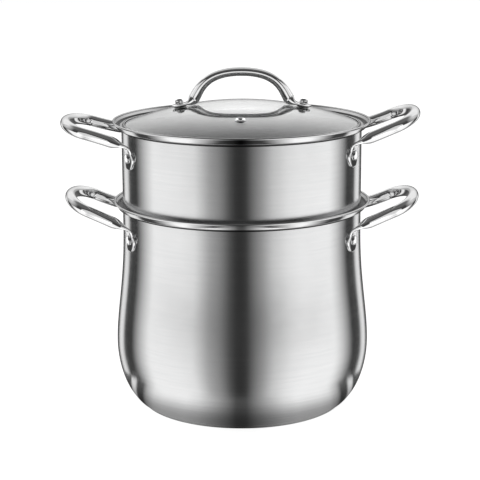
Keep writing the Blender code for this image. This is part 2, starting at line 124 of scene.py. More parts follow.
# Each loop handle's side, drop from the rim to its rivets, rise from them to its plane, and tilt in degrees
POT_LOOPS = [(-1, 0.0322, 0.0084, 23.4), (1, 0.0322, 0.0084, 23.4)]
STEAMER_LOOPS = [(-1, 0.0314, 0.0104, 15.6), (1, 0.0284, 0.0081, 23.0)]

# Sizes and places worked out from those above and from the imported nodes
INNER_R = WALL_R - WALL
SOLID_SIDES = 40
SKIRT_R = INNER_R * math.cos(math.pi / SOLID_SIDES) - GAP - SKIRT_CLEARANCE
GLASS_R = INNER_R - LID_CLEARANCE - BAND_T - GAP
DOME_R = (GLASS_R ** 2 + DOME_RISE ** 2) / (2 * DOME_RISE)
DOME_TOP = EDGE_RISE + DOME_RISE
STEAMER_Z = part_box("steamer_body")[0].z + SKIRT_DEPTH
LID_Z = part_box("lid_glass")[1].z - DOME_TOP
LEAN = math.asin(SCREW_X / DOME_R)
VENT_LEAN = math.asin(VENT_Y / DOME_R)

# The flare's fine form, where the solids have a plain cone and a flat brim: a rolled bead, a steep band
# down to a bend, and a small neck pressed in at the foot
BEAD_R = 0.0011
BEAD_END = -60
FLARE_IN = 0.0043
FLARE_BEND = 0.0066
NECK_IN = 0.0004
NECK_H = 0.0005

# How far down from the rim the flare is buffed: below that, down to the neck, it gets painted shade, a
# near-black steel standing in for the shade in its hollow and crease
BUFFED_INSIDE = 0.0044
BUFFED_OUTSIDE = FLARE_BEND + 0.001

# Roundings of edges in general, and of the corners that have one of their own
CRISP = 0.0002
EASED = 0.0003
SOFT = 0.0004
FULL = 0.0006
FLARE_FILLET = 0.0014
FOOT_FILLET = 0.004
CAP_CORNER = 0.0016
SHOULDER_FILLET = 0.0014
SKIRT_FILLET = 0.0016
RIVET_TAIL_FILLET = 0.0005
SCREW_HEAD_FILLET = 0.0008
VENT_ROLL = 0.0014
GLASS_BEVEL = 0.0008

# How the handles' tubes are pressed flat at their ends: the squareness of a section, how near a bend's
# pulls lie to its corner, how soon a section turns round, and where a tab has left the wall's curve
PRESSED = 5.0
TUBULAR = 2.0
END_START = 3
BEND_PULL = 0.9
BEND_ROUNDING = 0.6
LIE_LENGTH = 0.012
ANKLE_PULL = 0.6
ANKLE_ROUNDING = 0.7
ANKLE_ROOM = 0.7
FOOT_NARROWING = 0.9

# Fineness: sides round the turned, small, lofted and drilled forms, and steps along their curves
ROUND = 240
SMALL_ROUND = 48
TUBE_ROUND = 40
HOLE_ROUND = 32
FILLET_STEPS = 5
FINE_FILLET_STEPS = 8
BAND_FILLET_STEPS = 4
CURVE_STEPS = 40
BEAD_STEPS = 20
HEAD_STEPS = 12
NUT_STEPS = 9
END_STEPS = 14
BEND_STEPS = 24
ARM_STEPS = 40
TIP_STEPS = 30
ANKLE_STEPS = 20
ARCH_STEPS = 54

# Angles beyond which an edge is shaded sharp
SHARP = math.radians(40)
LOFT_SHARP = math.radians(50)


# Materials

class Nodes:
    """A short way to add and join shader nodes."""

    def __init__(self, tree):
        self.tree = tree

    def fill(self, node, values):
        """Joins or sets each of a node's sockets that values names."""
        for socket, value in dict(values).items():
            if isinstance(value, bpy.types.NodeSocket):
                self.tree.links.new(value, node.inputs[socket])
            else:
                node.inputs[socket].default_value = value
        return node

    def add(self, kind, values=(), **settings):
        node = self.tree.nodes.new(kind)
        for name, value in settings.items():
            setattr(node, name, value)
        return self.fill(node, values)

    def calc(self, operation, *values):
        return self.add("ShaderNodeMath", enumerate(values), operation=operation).outputs[0]


def surface_material(name):
    """A new material with its nodes, its shader, and the place on the object in metres."""
    made = bpy.data.materials.new(name)
    made.use_nodes = True
    nodes = Nodes(made.node_tree)
    place = nodes.add("ShaderNodeTexCoord").outputs["Object"]
    return made, nodes, made.node_tree.nodes["Principled BSDF"], place


def noise(nodes, place, scale, detail=2.0, rough=0.5, stretch=(1.0, 1.0, 1.0)):
    """Noise over the object's own metres, squeezed along each axis by stretch."""
    spread = nodes.add("ShaderNodeMapping", {"Vector": place, "Scale": stretch})
    return nodes.add("ShaderNodeTexNoise", {
        "Vector": spread.outputs["Vector"],
        "Scale": scale,
        "Detail": detail,
        "Roughness": rough,
    }).outputs["Fac"]


def ranged(nodes, value, low, high, start=0.25, end=0.75):
    made = nodes.add("ShaderNodeMapRange", {
        "Value": value,
        "From Min": start,
        "From Max": end,
        "To Min": low,
        "To Max": high,
    })
    return made.outputs["Result"]


def two_tone(nodes, value, dark, light, start=0.0, end=1.0):
    """Colour that goes from dark to light as the value goes from start to end."""
    ramp = nodes.add("ShaderNodeValToRGB", {"Fac": value})
    for element, position, colour in zip(ramp.color_ramp.elements, (start, end), (dark, light)):
        element.position = position
        element.color = (*colour, 1)
    return ramp.outputs["Color"]


def satin_steel(name, shade=0.73, rough=(0.15, 0.21), grain=0.3):
    """Steel brushed round the vessel: fine level lines, a few longer strokes, faint handling marks."""
    made, nodes, shader, place = surface_material(name)
    lines = noise(nodes, place, 1.0, 3.0, 0.6, (22.0, 22.0, 2400.0))
    strokes = noise(nodes, place, 1.0, 2.0, 0.55, (14.0, 14.0, 620.0))
    marks = noise(nodes, place, 26.0, 3.0, 0.6)
    brushing = nodes.calc("MULTIPLY", nodes.calc("ADD", lines, strokes), 0.5)
    dark = (shade * 0.94, shade * 0.945, shade * 0.95)
    spread = ranged(nodes, brushing, *rough)
    wear = ranged(nodes, marks, -0.02, 0.03)
    bump = nodes.add("ShaderNodeBump", {"Height": brushing, "Strength": grain, "Distance": 0.000006})
    tangent = nodes.add("ShaderNodeTangent", direction_type="RADIAL", axis="Z")
    nodes.fill(shader, {
        "Base Color": two_tone(nodes, brushing, dark, (shade * 1.05,) * 3, 0.3, 0.7),
        "Roughness": nodes.calc("ADD", spread, wear),
        "Normal": bump.outputs["Normal"],
        "Tangent": tangent.outputs["Tangent"],
        "Metallic": 1.0,
        "Anisotropic": 0.9,
        "Anisotropic Rotation": 0.25,
    })
    return made


def polished_steel(name, shade=0.78, rough=(0.05, 0.10)):
    """Buffed steel: near mirror, with the faint swirl and waviness that a buffing wheel leaves."""
    made, nodes, shader, place = surface_material(name)
    swirl = noise(nodes, place, 420.0, 3.0, 0.6)
    waves = noise(nodes, place, 90.0, 2.0, 0.5)
    dark = (shade * 0.97, shade * 0.97, shade * 0.975)
    bump = nodes.add("ShaderNodeBump", {"Height": waves, "Strength": 0.02, "Distance": 0.0002})
    nodes.fill(shader, {
        "Base Color": two_tone(nodes, waves, dark, (shade * 1.03,) * 3, 0.3, 0.7),
        "Roughness": ranged(nodes, swirl, *rough),
        "Normal": bump.outputs["Normal"],
        "Metallic": 1.0,
    })
    return made


def clear_glass(name):
    """Tempered glass: clear, with faint wipe marks in its gloss."""
    made, nodes, shader, place = surface_material(name)
    wipes = noise(nodes, place, 30.0, 4.0, 0.6, (1.0, 2.5, 1.0))
    nodes.fill(shader, {
        "Base Color": two_tone(nodes, wipes, (0.965, 0.975, 0.972), (0.985, 0.99, 0.988)),
        "Roughness": ranged(nodes, wipes, 0.0, 0.045, 0.45, 0.8),
        "Transmission Weight": 1.0,
        "IOR": 1.5,
    })
    return made


def silicone(name):
    made, nodes, shader, place = surface_material(name)
    cloud = noise(nodes, place, 600.0, 3.0, 0.6)
    nodes.fill(shader, {
        "Base Color": two_tone(nodes, cloud, (0.50, 0.50, 0.49), (0.72, 0.72, 0.70)),
        "Roughness": ranged(nodes, cloud, 0.35, 0.5),
        "Transmission Weight": 0.45,
        "IOR": 1.41,
    })
    return made


def plain_aluminium(name):
    made, nodes, shader, place = surface_material(name)
    grains = noise(nodes, place, 900.0, 3.0, 0.6)
    nodes.fill(shader, {
        "Base Color": two_tone(nodes, grains, (0.66, 0.67, 0.68), (0.80, 0.80, 0.81)),
        "Roughness": ranged(nodes, grains, 0.38, 0.5),
        "Metallic": 1.0,
    })
    return made


SATIN = satin_steel("brushed_outside")
INSIDE = satin_steel("brushed_inside", 0.74, (0.14, 0.20), 0.3)
CAP_STEEL = satin_steel("brushed_base", 0.66, (0.24, 0.36), 0.6)
# Painted shade: near-black steel that stands in for the shade in the flares' hollows and creases and in the
# lid band's fold
PAINTED_SHADE_STEEL = satin_steel("painted_shade_creases", 0.095, (0.36, 0.46), 0.4)
POLISHED = polished_steel("buffed_rims")
BRIGHT = polished_steel("buffed_handles", 0.82, (0.04, 0.08))
SMALL_BRIGHT = polished_steel("buffed_fittings", 0.80, (0.08, 0.14))
GLASS = clear_glass("lid_glass_clear")
SILICONE = silicone("clear_silicone_rings")
ALUMINIUM = plain_aluminium("core_aluminium")

# A vessel's steels and their places in that list; the last is painted shade for the flare's hollow and
# crease
VESSEL_STEELS = [SATIN, POLISHED, INSIDE, PAINTED_SHADE_STEEL]
OUTER_FACE, BUFFED_FACE, INNER_FACE, PAINTED_SHADE_FACE = range(4)


# Mesh helpers

def placed(name, data):
    """A new object in the scene."""
    made = bpy.data.objects.new(name, data)
    bpy.context.scene.collection.objects.link(made)
    return made


def finished(name, vertices, faces, materials, body, nodes, sharp=SHARP, picks=None):
    """Makes one smooth-shaded piece, rides it on its body and hides the nodes it stands for."""
    mesh = bpy.data.meshes.new(name)
    mesh.from_pydata([tuple(v) for v in vertices], [], faces)
    for made in materials:
        mesh.materials.append(made)
    if picks is not None:
        mesh.polygons.foreach_set("material_index", picks)
    mesh.shade_smooth()
    mesh.set_sharp_from_angle(angle=sharp)
    mesh.update()
    piece = placed(name, mesh)
    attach(piece, body)
    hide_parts(*nodes)
    return piece


def turned_mesh(profile, steps=ROUND, closed=False, place=None, pick=None):
    """Vertices, faces and material picks of a (radius, height) profile turned about Z."""
    place = place or Matrix.Identity(4)
    vertices = []
    rings = []
    for radius, height in profile:
        first = len(vertices)
        if radius < 1e-7:
            vertices.append(place @ Vector((0.0, 0.0, height)))
            rings.append([first] * steps)
            continue
        for s in range(steps):
            turn = 2 * math.pi * s / steps
            vertices.append(place @ Vector((radius * math.cos(turn), radius * math.sin(turn), height)))
        rings.append(list(range(first, first + steps)))
    faces = []
    picks = []
    spans = list(zip(rings, rings[1:]))
    if closed:
        spans.append((rings[-1], rings[0]))
    for i, (above, below) in enumerate(spans):
        choice = pick(i, profile) if pick else 0
        for s in range(steps):
            t = (s + 1) % steps
            face = []
            for v in (above[s], below[s], below[t], above[t]):
                if v not in face:
                    face.append(v)
            if len(face) > 2:
                faces.append(face)
                picks.append(choice)
    return vertices, faces, picks


def turned(name, profile, materials, body, nodes, steps=ROUND, closed=False, place=None,
           pick=None):
    vertices, faces, picks = turned_mesh(profile, steps, closed, place, pick)
    return finished(name, vertices, faces, materials, body, nodes, picks=picks)


def rounded(corners, closed=False, arc=FILLET_STEPS):
    """Polyline through (radius, height, fillet) corners, each eased by an arc of its fillet."""
    straight = 0.02
    most_of_side = 0.49
    points = []
    count = len(corners)
    for i, (x, z, fillet) in enumerate(corners):
        ends = not closed and i in (0, count - 1)
        if fillet <= 0 or ends:
            points.append((x, z))
            continue
        here = Vector((x, z))
        before = Vector(corners[i - 1][:2])
        after = Vector(corners[(i + 1) % count][:2])
        into = (here - before).normalized()
        away = (after - here).normalized()
        turn = math.acos(max(-1.0, min(1.0, into.dot(away))))
        if turn < straight:
            points.append((x, z))
            continue
        reach = fillet * math.tan(turn / 2)
        reach = min(reach, (here - before).length * most_of_side, (after - here).length * most_of_side)
        start = here - into * reach
        end = here + away * reach
        for k in range(arc + 1):
            t = k / arc
            point = start * (1 - t) ** 2 + here * (2 * t * (1 - t)) + end * t ** 2
            points.append((point.x, point.y))
    return points


def offset_line(points, distance):
    """The same polyline, moved to the side that lies inside when it runs down the outer side."""
    moved = []
    for i, point in enumerate(points):
        here = Vector(point)
        before = Vector(points[max(i - 1, 0)])
        after = Vector(points[min(i + 1, len(points) - 1)])
        into = (here - before).normalized() if i > 0 else (after - here).normalized()
        away = (after - here).normalized() if i < len(points) - 1 else into
        # Downwards along the outer side, (y, -x) points inwards
        normal_1 = Vector((into.y, -into.x))
        normal_2 = Vector((away.y, -away.x))
        middle = (normal_1 + normal_2).normalized()
        scale = distance / max(middle.dot(normal_1), 0.5)
        moved.append((max(here.x + middle.x * scale, 0.0), here.y + middle.y * scale))
    return moved


def vessel_profile(outer, thickness, rim_z):
    """One line from the axis inside, up to the rolled bead, over it and down the outer side."""
    inner = offset_line(outer, thickness)
    inner[-1] = (0.0, inner[-1][1])
    bead = []
    for k in range(BEAD_STEPS + 1):
        turn = math.radians(mix(180, BEAD_END, k / BEAD_STEPS))
        bead.append((RIM_R - BEAD_R + BEAD_R * math.cos(turn), rim_z - BEAD_R + BEAD_R * math.sin(turn)))
    return list(reversed(inner)) + bead + outer


def domed(radius, base, height, steps, fullness=1.0):
    """Profile of a round cap from its top to its edge, with fuller sides at a lower fullness."""
    points = []
    for i in range(steps + 1):
        angle = math.pi / 2 * i / steps
        points.append((radius * math.sin(angle), base + height * math.cos(angle) ** fullness))
    return points


def carve(piece, cutter):
    boolean = piece.modifiers.new("holes", "BOOLEAN")
    boolean.operation = "DIFFERENCE"
    boolean.solver = "EXACT"
    boolean.object = cutter
    bpy.context.view_layer.update()
    depsgraph = bpy.context.evaluated_depsgraph_get()
    carved = bpy.data.meshes.new_from_object(piece.evaluated_get(depsgraph), depsgraph=depsgraph)
    piece.modifiers.clear()
    piece.data = carved
    carved.shade_smooth()
    carved.set_sharp_from_angle(angle=SHARP)
    bpy.data.objects.remove(cutter, do_unlink=True)


def rods(name, places, radius, low, high):
    """One mesh of round cutters along the local Z axes of their places."""
    shape = bmesh.new()
    for place in places:
        bmesh.ops.create_cone(
            shape,
            cap_ends=True,
            segments=HOLE_ROUND,
            radius1=radius,
            radius2=radius,
            depth=high - low,
            matrix=place @ Matrix.Translation((0.0, 0.0, (low + high) / 2)),
        )
    mesh = bpy.data.meshes.new(name)
    shape.to_mesh(mesh)
    shape.free()
    return placed(name, mesh)


def ease(value):
    value = min(max(value, 0.0), 1.0)
    return value * value * (3 - 2 * value)


def mix(start, end, share):
    return start + (end - start) * share


def bezier(start, pull_1, pull_2, end, t):
    """Point and direction at t of a curve between start and end."""
    s = 1 - t
    point = start * s ** 3 + pull_1 * (3 * s * s * t) + pull_2 * (3 * s * t * t) + end * t ** 3
    along = (pull_1 - start) * (s * s) + (pull_2 - pull_1) * (2 * s * t) + (end - pull_2) * (t * t)
    return point, along.normalized()


def section(station, hug=None):
    """Ring of points of a rounded section, laid on the wall that hug describes as far as lie says."""
    centre, wide, thick, half_w, half_t, power, lie = station
    ring = []
    for i in range(TUBE_ROUND):
        turn = 2 * math.pi * (i + 0.5) / TUBE_ROUND
        across = math.copysign(abs(math.cos(turn)) ** (2 / power), math.cos(turn)) * half_w
        up = math.copysign(abs(math.sin(turn)) ** (2 / power), math.sin(turn)) * half_t
        point = centre + wide * across + thick * up
        if hug and lie > 0:
            away, radius = hug
            point = point - away * (lie * across * across / (2 * radius))
        ring.append(point)
    return ring


def pressed_end(middle, heading, wide, thick, radius, thickness, lie):
    """Stations over the round end of a pressed tube, up to the middle of its circle."""
    stations = []
    for i in range(END_STEPS + 1):
        turn = math.radians(mix(END_START, 90, i / END_STEPS))
        centre = middle - heading * (radius * math.cos(turn))
        half_t = thickness / 2 * (1 - (1 - math.sin(turn)) ** 4)
        stations.append((centre, wide, thick, radius * math.sin(turn), half_t, PRESSED, lie))
    return stations


def mirrored(rings, x, y):
    return [[Vector((p.x * x, p.y * y, p.z)) for p in ring] for ring in rings]


def raised(rings, height):
    return [[p + Vector((0.0, 0.0, height)) for p in ring] for ring in rings]


def lofted(name, rings, materials, body, nodes):
    """One closed skin through the rings, with a fan over each end."""
    sides = len(rings[0])
    vertices = [point for ring in rings for point in ring]
    faces = []
    for r in range(len(rings) - 1):
        a = r * sides
        b = a + sides
        for i in range(sides):
            j = (i + 1) % sides
            faces.append((a + i, b + i, b + j, a + j))
    first = len(vertices)
    for ring, start, flip in ((rings[0], 0, False), (rings[-1], (len(rings) - 1) * sides, True)):
        middle = sum(ring, Vector()) / sides
        vertices.append(middle)
        for i in range(sides):
            j = (i + 1) % sides
            face = (start + i, start + j, first)
            faces.append(tuple(reversed(face)) if flip else face)
        first += 1
    piece = finished(name, vertices, faces, materials, body, nodes, LOFT_SHARP)
    shape = bmesh.new()
    shape.from_mesh(piece.data)
    bmesh.ops.recalc_face_normals(shape, faces=shape.faces)
    shape.to_mesh(piece.data)
    shape.free()
    return piece


# Vessels

def pour_rim(rim_z):
    """Outer skin of the flared rim below its bead, and the fine neck pressed under it."""
    lip = (RIM_R - 2 * BEAD_R + WALL, rim_z - 2 * BEAD_R)
    bend = (RIM_R - FLARE_IN, rim_z - FLARE_BEND)
    half_way = ((lip[0] + bend[0]) / 2, (lip[1] + bend[1]) / 2, 0.0)
    return [
        (*lip, 0.0),
        half_way,
        (*bend, FLARE_FILLET),
        (WALL_R - NECK_IN, rim_z - FLARE_H + NECK_H, SOFT),
        (WALL_R, rim_z - FLARE_H, EASED),
    ]


def swell(share):
    """Radius and height of the pot's wall from its straight top down to the belly."""
    height = mix(POT_H - SWELL_DROP, BELLY_Z, share)
    return mix(WALL_R, BELLY_R, 4 * share ** 3 - 3 * share ** 4), height


def pot_wall_radius(height):
    share = (POT_H - SWELL_DROP - height) / (POT_H - SWELL_DROP - BELLY_Z)
    return swell(min(max(share, 0.0), 1.0))[0]


def steamer_wall_radius(height):
    return WALL_R


def foot_curve(share):
    """Radius and height of the pot's wall from the belly down to the base."""
    angle = FOOT_SWEEP * share
    run = (BELLY_R - FOOT_R) / (1 - math.cos(FOOT_SWEEP))
    rise = (BELLY_Z - BASE_TOP) / math.sin(FOOT_SWEEP)
    return BELLY_R - run * (1 - math.cos(angle)), BELLY_Z - rise * math.sin(angle)


def vessel_pick(rim_z, inner_count):
    """Steel of each part of a vessel's profile, whose first inner_count points run up the inside; below the
    buffed part the flare gets painted shade.
    """
    def pick(i, profile):
        height = (profile[i][1] + profile[i + 1][1]) / 2
        inside = i < inner_count - 1
        if height < rim_z - FLARE_H - NECK_H:
            return INNER_FACE if inside else OUTER_FACE
        buffed = BUFFED_INSIDE if inside else BUFFED_OUTSIDE
        # Painted shade below the buffed part of the flare, down to its neck
        return PAINTED_SHADE_FACE if height < rim_z - buffed else BUFFED_FACE
    return pick


def make_vessel(name, skin, rim_z, body, node):
    profile = vessel_profile(skin, WALL, rim_z)
    pick = vessel_pick(rim_z, len(skin))
    return turned(name, profile, VESSEL_STEELS, body, [node], pick=pick)


def make_pot():
    shares = [i / CURVE_STEPS for i in range(1, CURVE_STEPS + 1)]
    skin = rounded(pour_rim(POT_H) + [swell(0.0) + (0.0,)])
    skin += [swell(share) for share in shares]
    foot = [foot_curve(share) for share in shares]
    skin += foot[:-1]
    heel = [foot[-2] + (0.0,), foot[-1] + (FOOT_FILLET,), (0.0, BASE_TOP, 0.0)]
    skin += rounded(heel, arc=FINE_FILLET_STEPS)[1:]
    make_vessel("pot_wall", skin, POT_H, "pot", "pot_body")


def make_base():
    outline = [
        (CAP_R - CAP_WALL, CAP_H, EASED),
        (CAP_R, CAP_H, EASED),
        (CAP_R, 0.0, CAP_CORNER),
        (0.0, 0.0, 0.0),
        (0.0, CAP_WALL, 0.0),
        (CAP_R - CAP_WALL, CAP_WALL, CAP_CORNER - CAP_WALL),
    ]
    profile = rounded(outline, closed=True)
    turned("base_cap", profile, [CAP_STEEL], "pot", ["pot_base_cap"], closed=True)


def make_steamer():
    z = STEAMER_Z
    skin = rounded(pour_rim(z + STEAMER_H) + [
        (WALL_R, z, SHOULDER_FILLET),
        (SKIRT_R, z - SHOULDER_H, SKIRT_FILLET),
        (SKIRT_R, z - SKIRT_DEPTH, FLOOR_CORNER),
        (0.0, z - SKIRT_DEPTH, 0.0),
    ], arc=FINE_FILLET_STEPS)
    shell = make_vessel("steamer_wall", skin, z + STEAMER_H, "steamer", "steamer_body")
    places = []
    rings = int((SKIRT_R - FLOOR_CORNER - HOLE_MARGIN) / HOLE_PITCH)
    for ring in range(rings + 1):
        count = max(6 * ring, 1)
        for i in range(count):
            turn = 2 * math.pi * (i + 1 / 3) / count
            x = ring * HOLE_PITCH * math.cos(turn)
            y = ring * HOLE_PITCH * math.sin(turn)
            places.append(Matrix.Translation((x, y, z - SKIRT_DEPTH)))
    carve(shell, rods("steam_holes", places, HOLE_D / 2, -2 * WALL, 3 * WALL))


# Loop handles

def loop_half(seat, rivet_z, rise, tilt):
    """Fine stations from one tab's lower end to the tip of the loop, at +Y of a right-hand handle."""
    up = Vector((0.0, 0.0, 1.0))
    away = Vector((math.cos(TAB_ANGLE), math.sin(TAB_ANGLE), 0.0))
    along_wall = Vector((math.sin(TAB_ANGLE), -math.cos(TAB_ANGLE), 0.0))
    tab = away * (seat + TAB_T / 2)
    stations = pressed_end(tab + up * rivet_z, up, along_wall, -away, TAB_R, TAB_T, 1.0)

    # The loop lies in a plane that rises outwards from the tabs
    outward = Vector((math.cos(tilt), 0.0, math.sin(tilt)))
    normal = Vector((-math.sin(tilt), 0.0, math.cos(tilt)))
    corner = tab + away * BEND_LEAN + up * (rivet_z + BEND_RISE)
    root = Vector((tab.x, 0.0, rivet_z + rise))
    arm_end = root + outward * (LOOP_REACH - LOOP_END) + Vector((0.0, LOOP_HALF_W, 0.0))
    pull = (arm_end - corner).length / 3
    heading = (arm_end - outward * pull - corner).normalized()
    bend_start = tab + up * (rivet_z + RIVET_HEAD_R)
    bend_end = corner + heading * BEND_OUT
    bend = (bend_start, mix(bend_start, corner, BEND_PULL), mix(bend_end, corner, BEND_PULL), bend_end)
    arm = (bend_end, bend_end + heading * pull, arm_end - outward * pull, arm_end)
    path = [bezier(*bend, i / BEND_STEPS) for i in range(BEND_STEPS + 1)]
    path += [bezier(*arm, i / ARM_STEPS) for i in range(1, ARM_STEPS + 1)]

    # From the tab on, the flat strip swings round to the arm and swells into the tube
    travelled = 0.0
    before = path[0][0]
    strip = BEND_RISE - RIVET_HEAD_R
    for point, direction in path:
        travelled += (point - before).length
        before = point
        swing = ease((travelled - strip / 2) / PRESS_LENGTH)
        share = ease((travelled - strip) / PRESS_LENGTH)
        wide = mix(along_wall, direction.cross(normal), swing).normalized()
        thick = wide.cross(direction).normalized()
        lie = 1 - ease(travelled / LIE_LENGTH)
        half_w = mix(NECK_R, TUBE_R, swing)
        half_t = mix(TAB_T / 2, TUBE_R, share)
        power = mix(PRESSED, TUBULAR, share ** BEND_ROUNDING)
        stations.append((point, wide, thick, half_w, half_t, power, lie))

    for i in range(1, TIP_STEPS + 1):
        turn = math.pi / 2 * i / TIP_STEPS
        reach = LOOP_REACH - LOOP_END + LOOP_END * math.sin(turn)
        point = root + outward * reach + Vector((0.0, LOOP_HALF_W * math.cos(turn), 0.0))
        along = Vector((0.0, LOOP_HALF_W * math.sin(turn), 0.0))
        direction = outward * (LOOP_END * math.cos(turn)) - along
        wide = direction.normalized().cross(normal)
        stations.append((point, wide, normal, TUBE_R, TUBE_R, TUBULAR, 0.0))
    return stations, away


def make_loop(vessel, side, wall_r, rivet_z, base_z, rise, tilt):
    where = "right" if side > 0 else "left"
    seat = wall_r(rivet_z - TAB_R) + GAP
    half, away = loop_half(seat, rivet_z, rise, tilt)
    rings = [section(station, (away, seat)) for station in half]
    rings += mirrored(reversed(rings[:-1]), 1, -1)
    if side < 0:
        rings = mirrored(rings, -1, -1)
    rings = raised(rings, base_z)
    node = f"{vessel}_handle_{where}"
    loop = lofted(f"{vessel}_loop_{where}", rings, [BRIGHT], vessel, [node])
    loop.visible_glossy = False
    face = seat + TAB_T + GAP
    length = face - (wall_r(rivet_z + RIVET_TAIL_R) - WALL) + GAP
    for lengthwise, end in ((-1, "front"), (1, "back")):
        azimuth = TAB_ANGLE * lengthwise
        if side < 0:
            azimuth = math.pi - azimuth
        spot = Vector((face * math.cos(azimuth), face * math.sin(azimuth), rivet_z + base_z))
        turn = Matrix.Rotation(azimuth, 4, "Z") @ Matrix.Rotation(math.pi / 2, 4, "Y")
        make_rivet(f"{vessel}_rivet_{where}_{end}", length, vessel, Matrix.Translation(spot) @ turn)


def make_rivet(node, length, body, place):
    """Domed head, shank, and upset tail inside."""
    profile = domed(RIVET_HEAD_R, 0.0, RIVET_HEAD_H, HEAD_STEPS, 0.8)
    profile += rounded([
        (RIVET_SHANK_R, -0.0001, 0.0),
        (RIVET_SHANK_R, -length, 0.0),
        (RIVET_TAIL_R, -length, EASED),
        (RIVET_TAIL_R, -length - RIVET_TAIL_T, RIVET_TAIL_FILLET),
        (0.0, -length - RIVET_TAIL_T, 0.0),
    ])
    turned(f"{node}_head", profile, [SMALL_BRIGHT], body, [node], SMALL_ROUND,
           place=place)


# Lid

def dome_height(radius, sphere_r=DOME_R):
    """Height of the dome over the flange, on the glass's outer sphere or another about its centre."""
    return DOME_TOP - DOME_R + math.sqrt(sphere_r ** 2 - radius ** 2)


def dome_place(lean, axis):
    """Frame on the glass's outer face with local Z square to it, leaning from upright."""
    centre = Matrix.Translation((0.0, 0.0, LID_Z + DOME_TOP - DOME_R))
    return centre @ Matrix.Rotation(lean, 4, axis) @ Matrix.Translation((0.0, 0.0, DOME_R))


def make_glass():
    inner_r = DOME_R - GLASS_T
    radii = [GLASS_R * i / CURVE_STEPS for i in range(CURVE_STEPS + 1)]
    edge = GLASS_R - GLASS_BEVEL
    radii = [r for r in radii if r < edge] + [edge]
    top = [(r, LID_Z + dome_height(r)) for r in radii]
    low = [(r, LID_Z + dome_height(r, inner_r)) for r in reversed(radii)]
    rim = [
        (GLASS_R, LID_Z + dome_height(GLASS_R) - GLASS_BEVEL),
        (GLASS_R, LID_Z + dome_height(GLASS_R, inner_r) + GLASS_BEVEL),
    ]
    glass = turned("lid_dome", top + rim + low, [GLASS], "lid", ["lid_glass"])
    holes = [dome_place(-LEAN, "Y"), dome_place(LEAN, "Y")]
    carve(glass, rods("screw_holes", holes, SHANK_R + SLEEVE_CLEARANCE, -2 * GLASS_T, GLASS_T))
    vent = [dome_place(-VENT_LEAN, "X")]
    carve(glass, rods("vent_hole", vent, VENT_BARREL_R + GAP, -2 * GLASS_T, GLASS_T))


def make_band():
    """Folded steel band with eased folds: flange in the rim, channel round the glass edge."""
    inside = GLASS_R + GAP
    outside = inside + BAND_T
    lip_r = GLASS_R - BAND_LIP
    slope_gap = GAP * 1.1
    lip_under = dome_height(lip_r) + slope_gap
    fold_under = dome_height(GLASS_R) + slope_gap
    floor_top = dome_height(GLASS_R, DOME_R - GLASS_T) - GAP

    # The fold between lip and flange begins inside the channel's wall and ends outside it
    fold_start = inside - 0.0002
    fold_low = outside + 0.0004
    fold_end = outside + 0.0008
    fold_dip = 0.0002
    corners = [
        (lip_r, lip_under + BAND_T, EASED),
        (fold_start, fold_under + BAND_T, SOFT),
        (fold_low, BAND_T - fold_dip, EASED),
        (fold_end, BAND_T, CRISP),
        (LID_R - BAND_T, BAND_T, SOFT),
        (LID_R, BAND_T / 2, EASED),
        (LID_R, 0.0, EASED),
        (outside, 0.0, EASED),
        (outside, floor_top - BAND_T, FULL),
        (GLASS_R - BAND_UNDERLIP, floor_top - BAND_T, EASED),
        (GLASS_R - BAND_UNDERLIP, floor_top, EASED),
        (inside, floor_top, 0.0),
        (inside, fold_under, 0.0),
        (lip_r, lip_under, CRISP),
    ]
    placed_corners = [(r, z + LID_Z, fillet) for r, z, fillet in corners]
    profile = rounded(placed_corners, closed=True, arc=BAND_FILLET_STEPS)
    steels = [POLISHED, PAINTED_SHADE_STEEL]
    margin = 0.0001

    def pick(i, profile):
        """The fold between flange and lip gets painted shade: near-black steel standing in for the shade in
        the fold.
        """
        radius, height = profile[i]
        in_fold = fold_start - margin < radius < fold_end - margin and height > LID_Z
        return steels.index(PAINTED_SHADE_STEEL if in_fold else POLISHED)

    turned("lid_band", profile, steels, "lid", ["lid_rim_band"], closed=True, pick=pick)


def foot_level():
    """Height of the middle of the lid handle's feet over the glass, square to it."""
    return GAP + UPPER_WASHER_T + GAP + LID_FOOT_T / 2


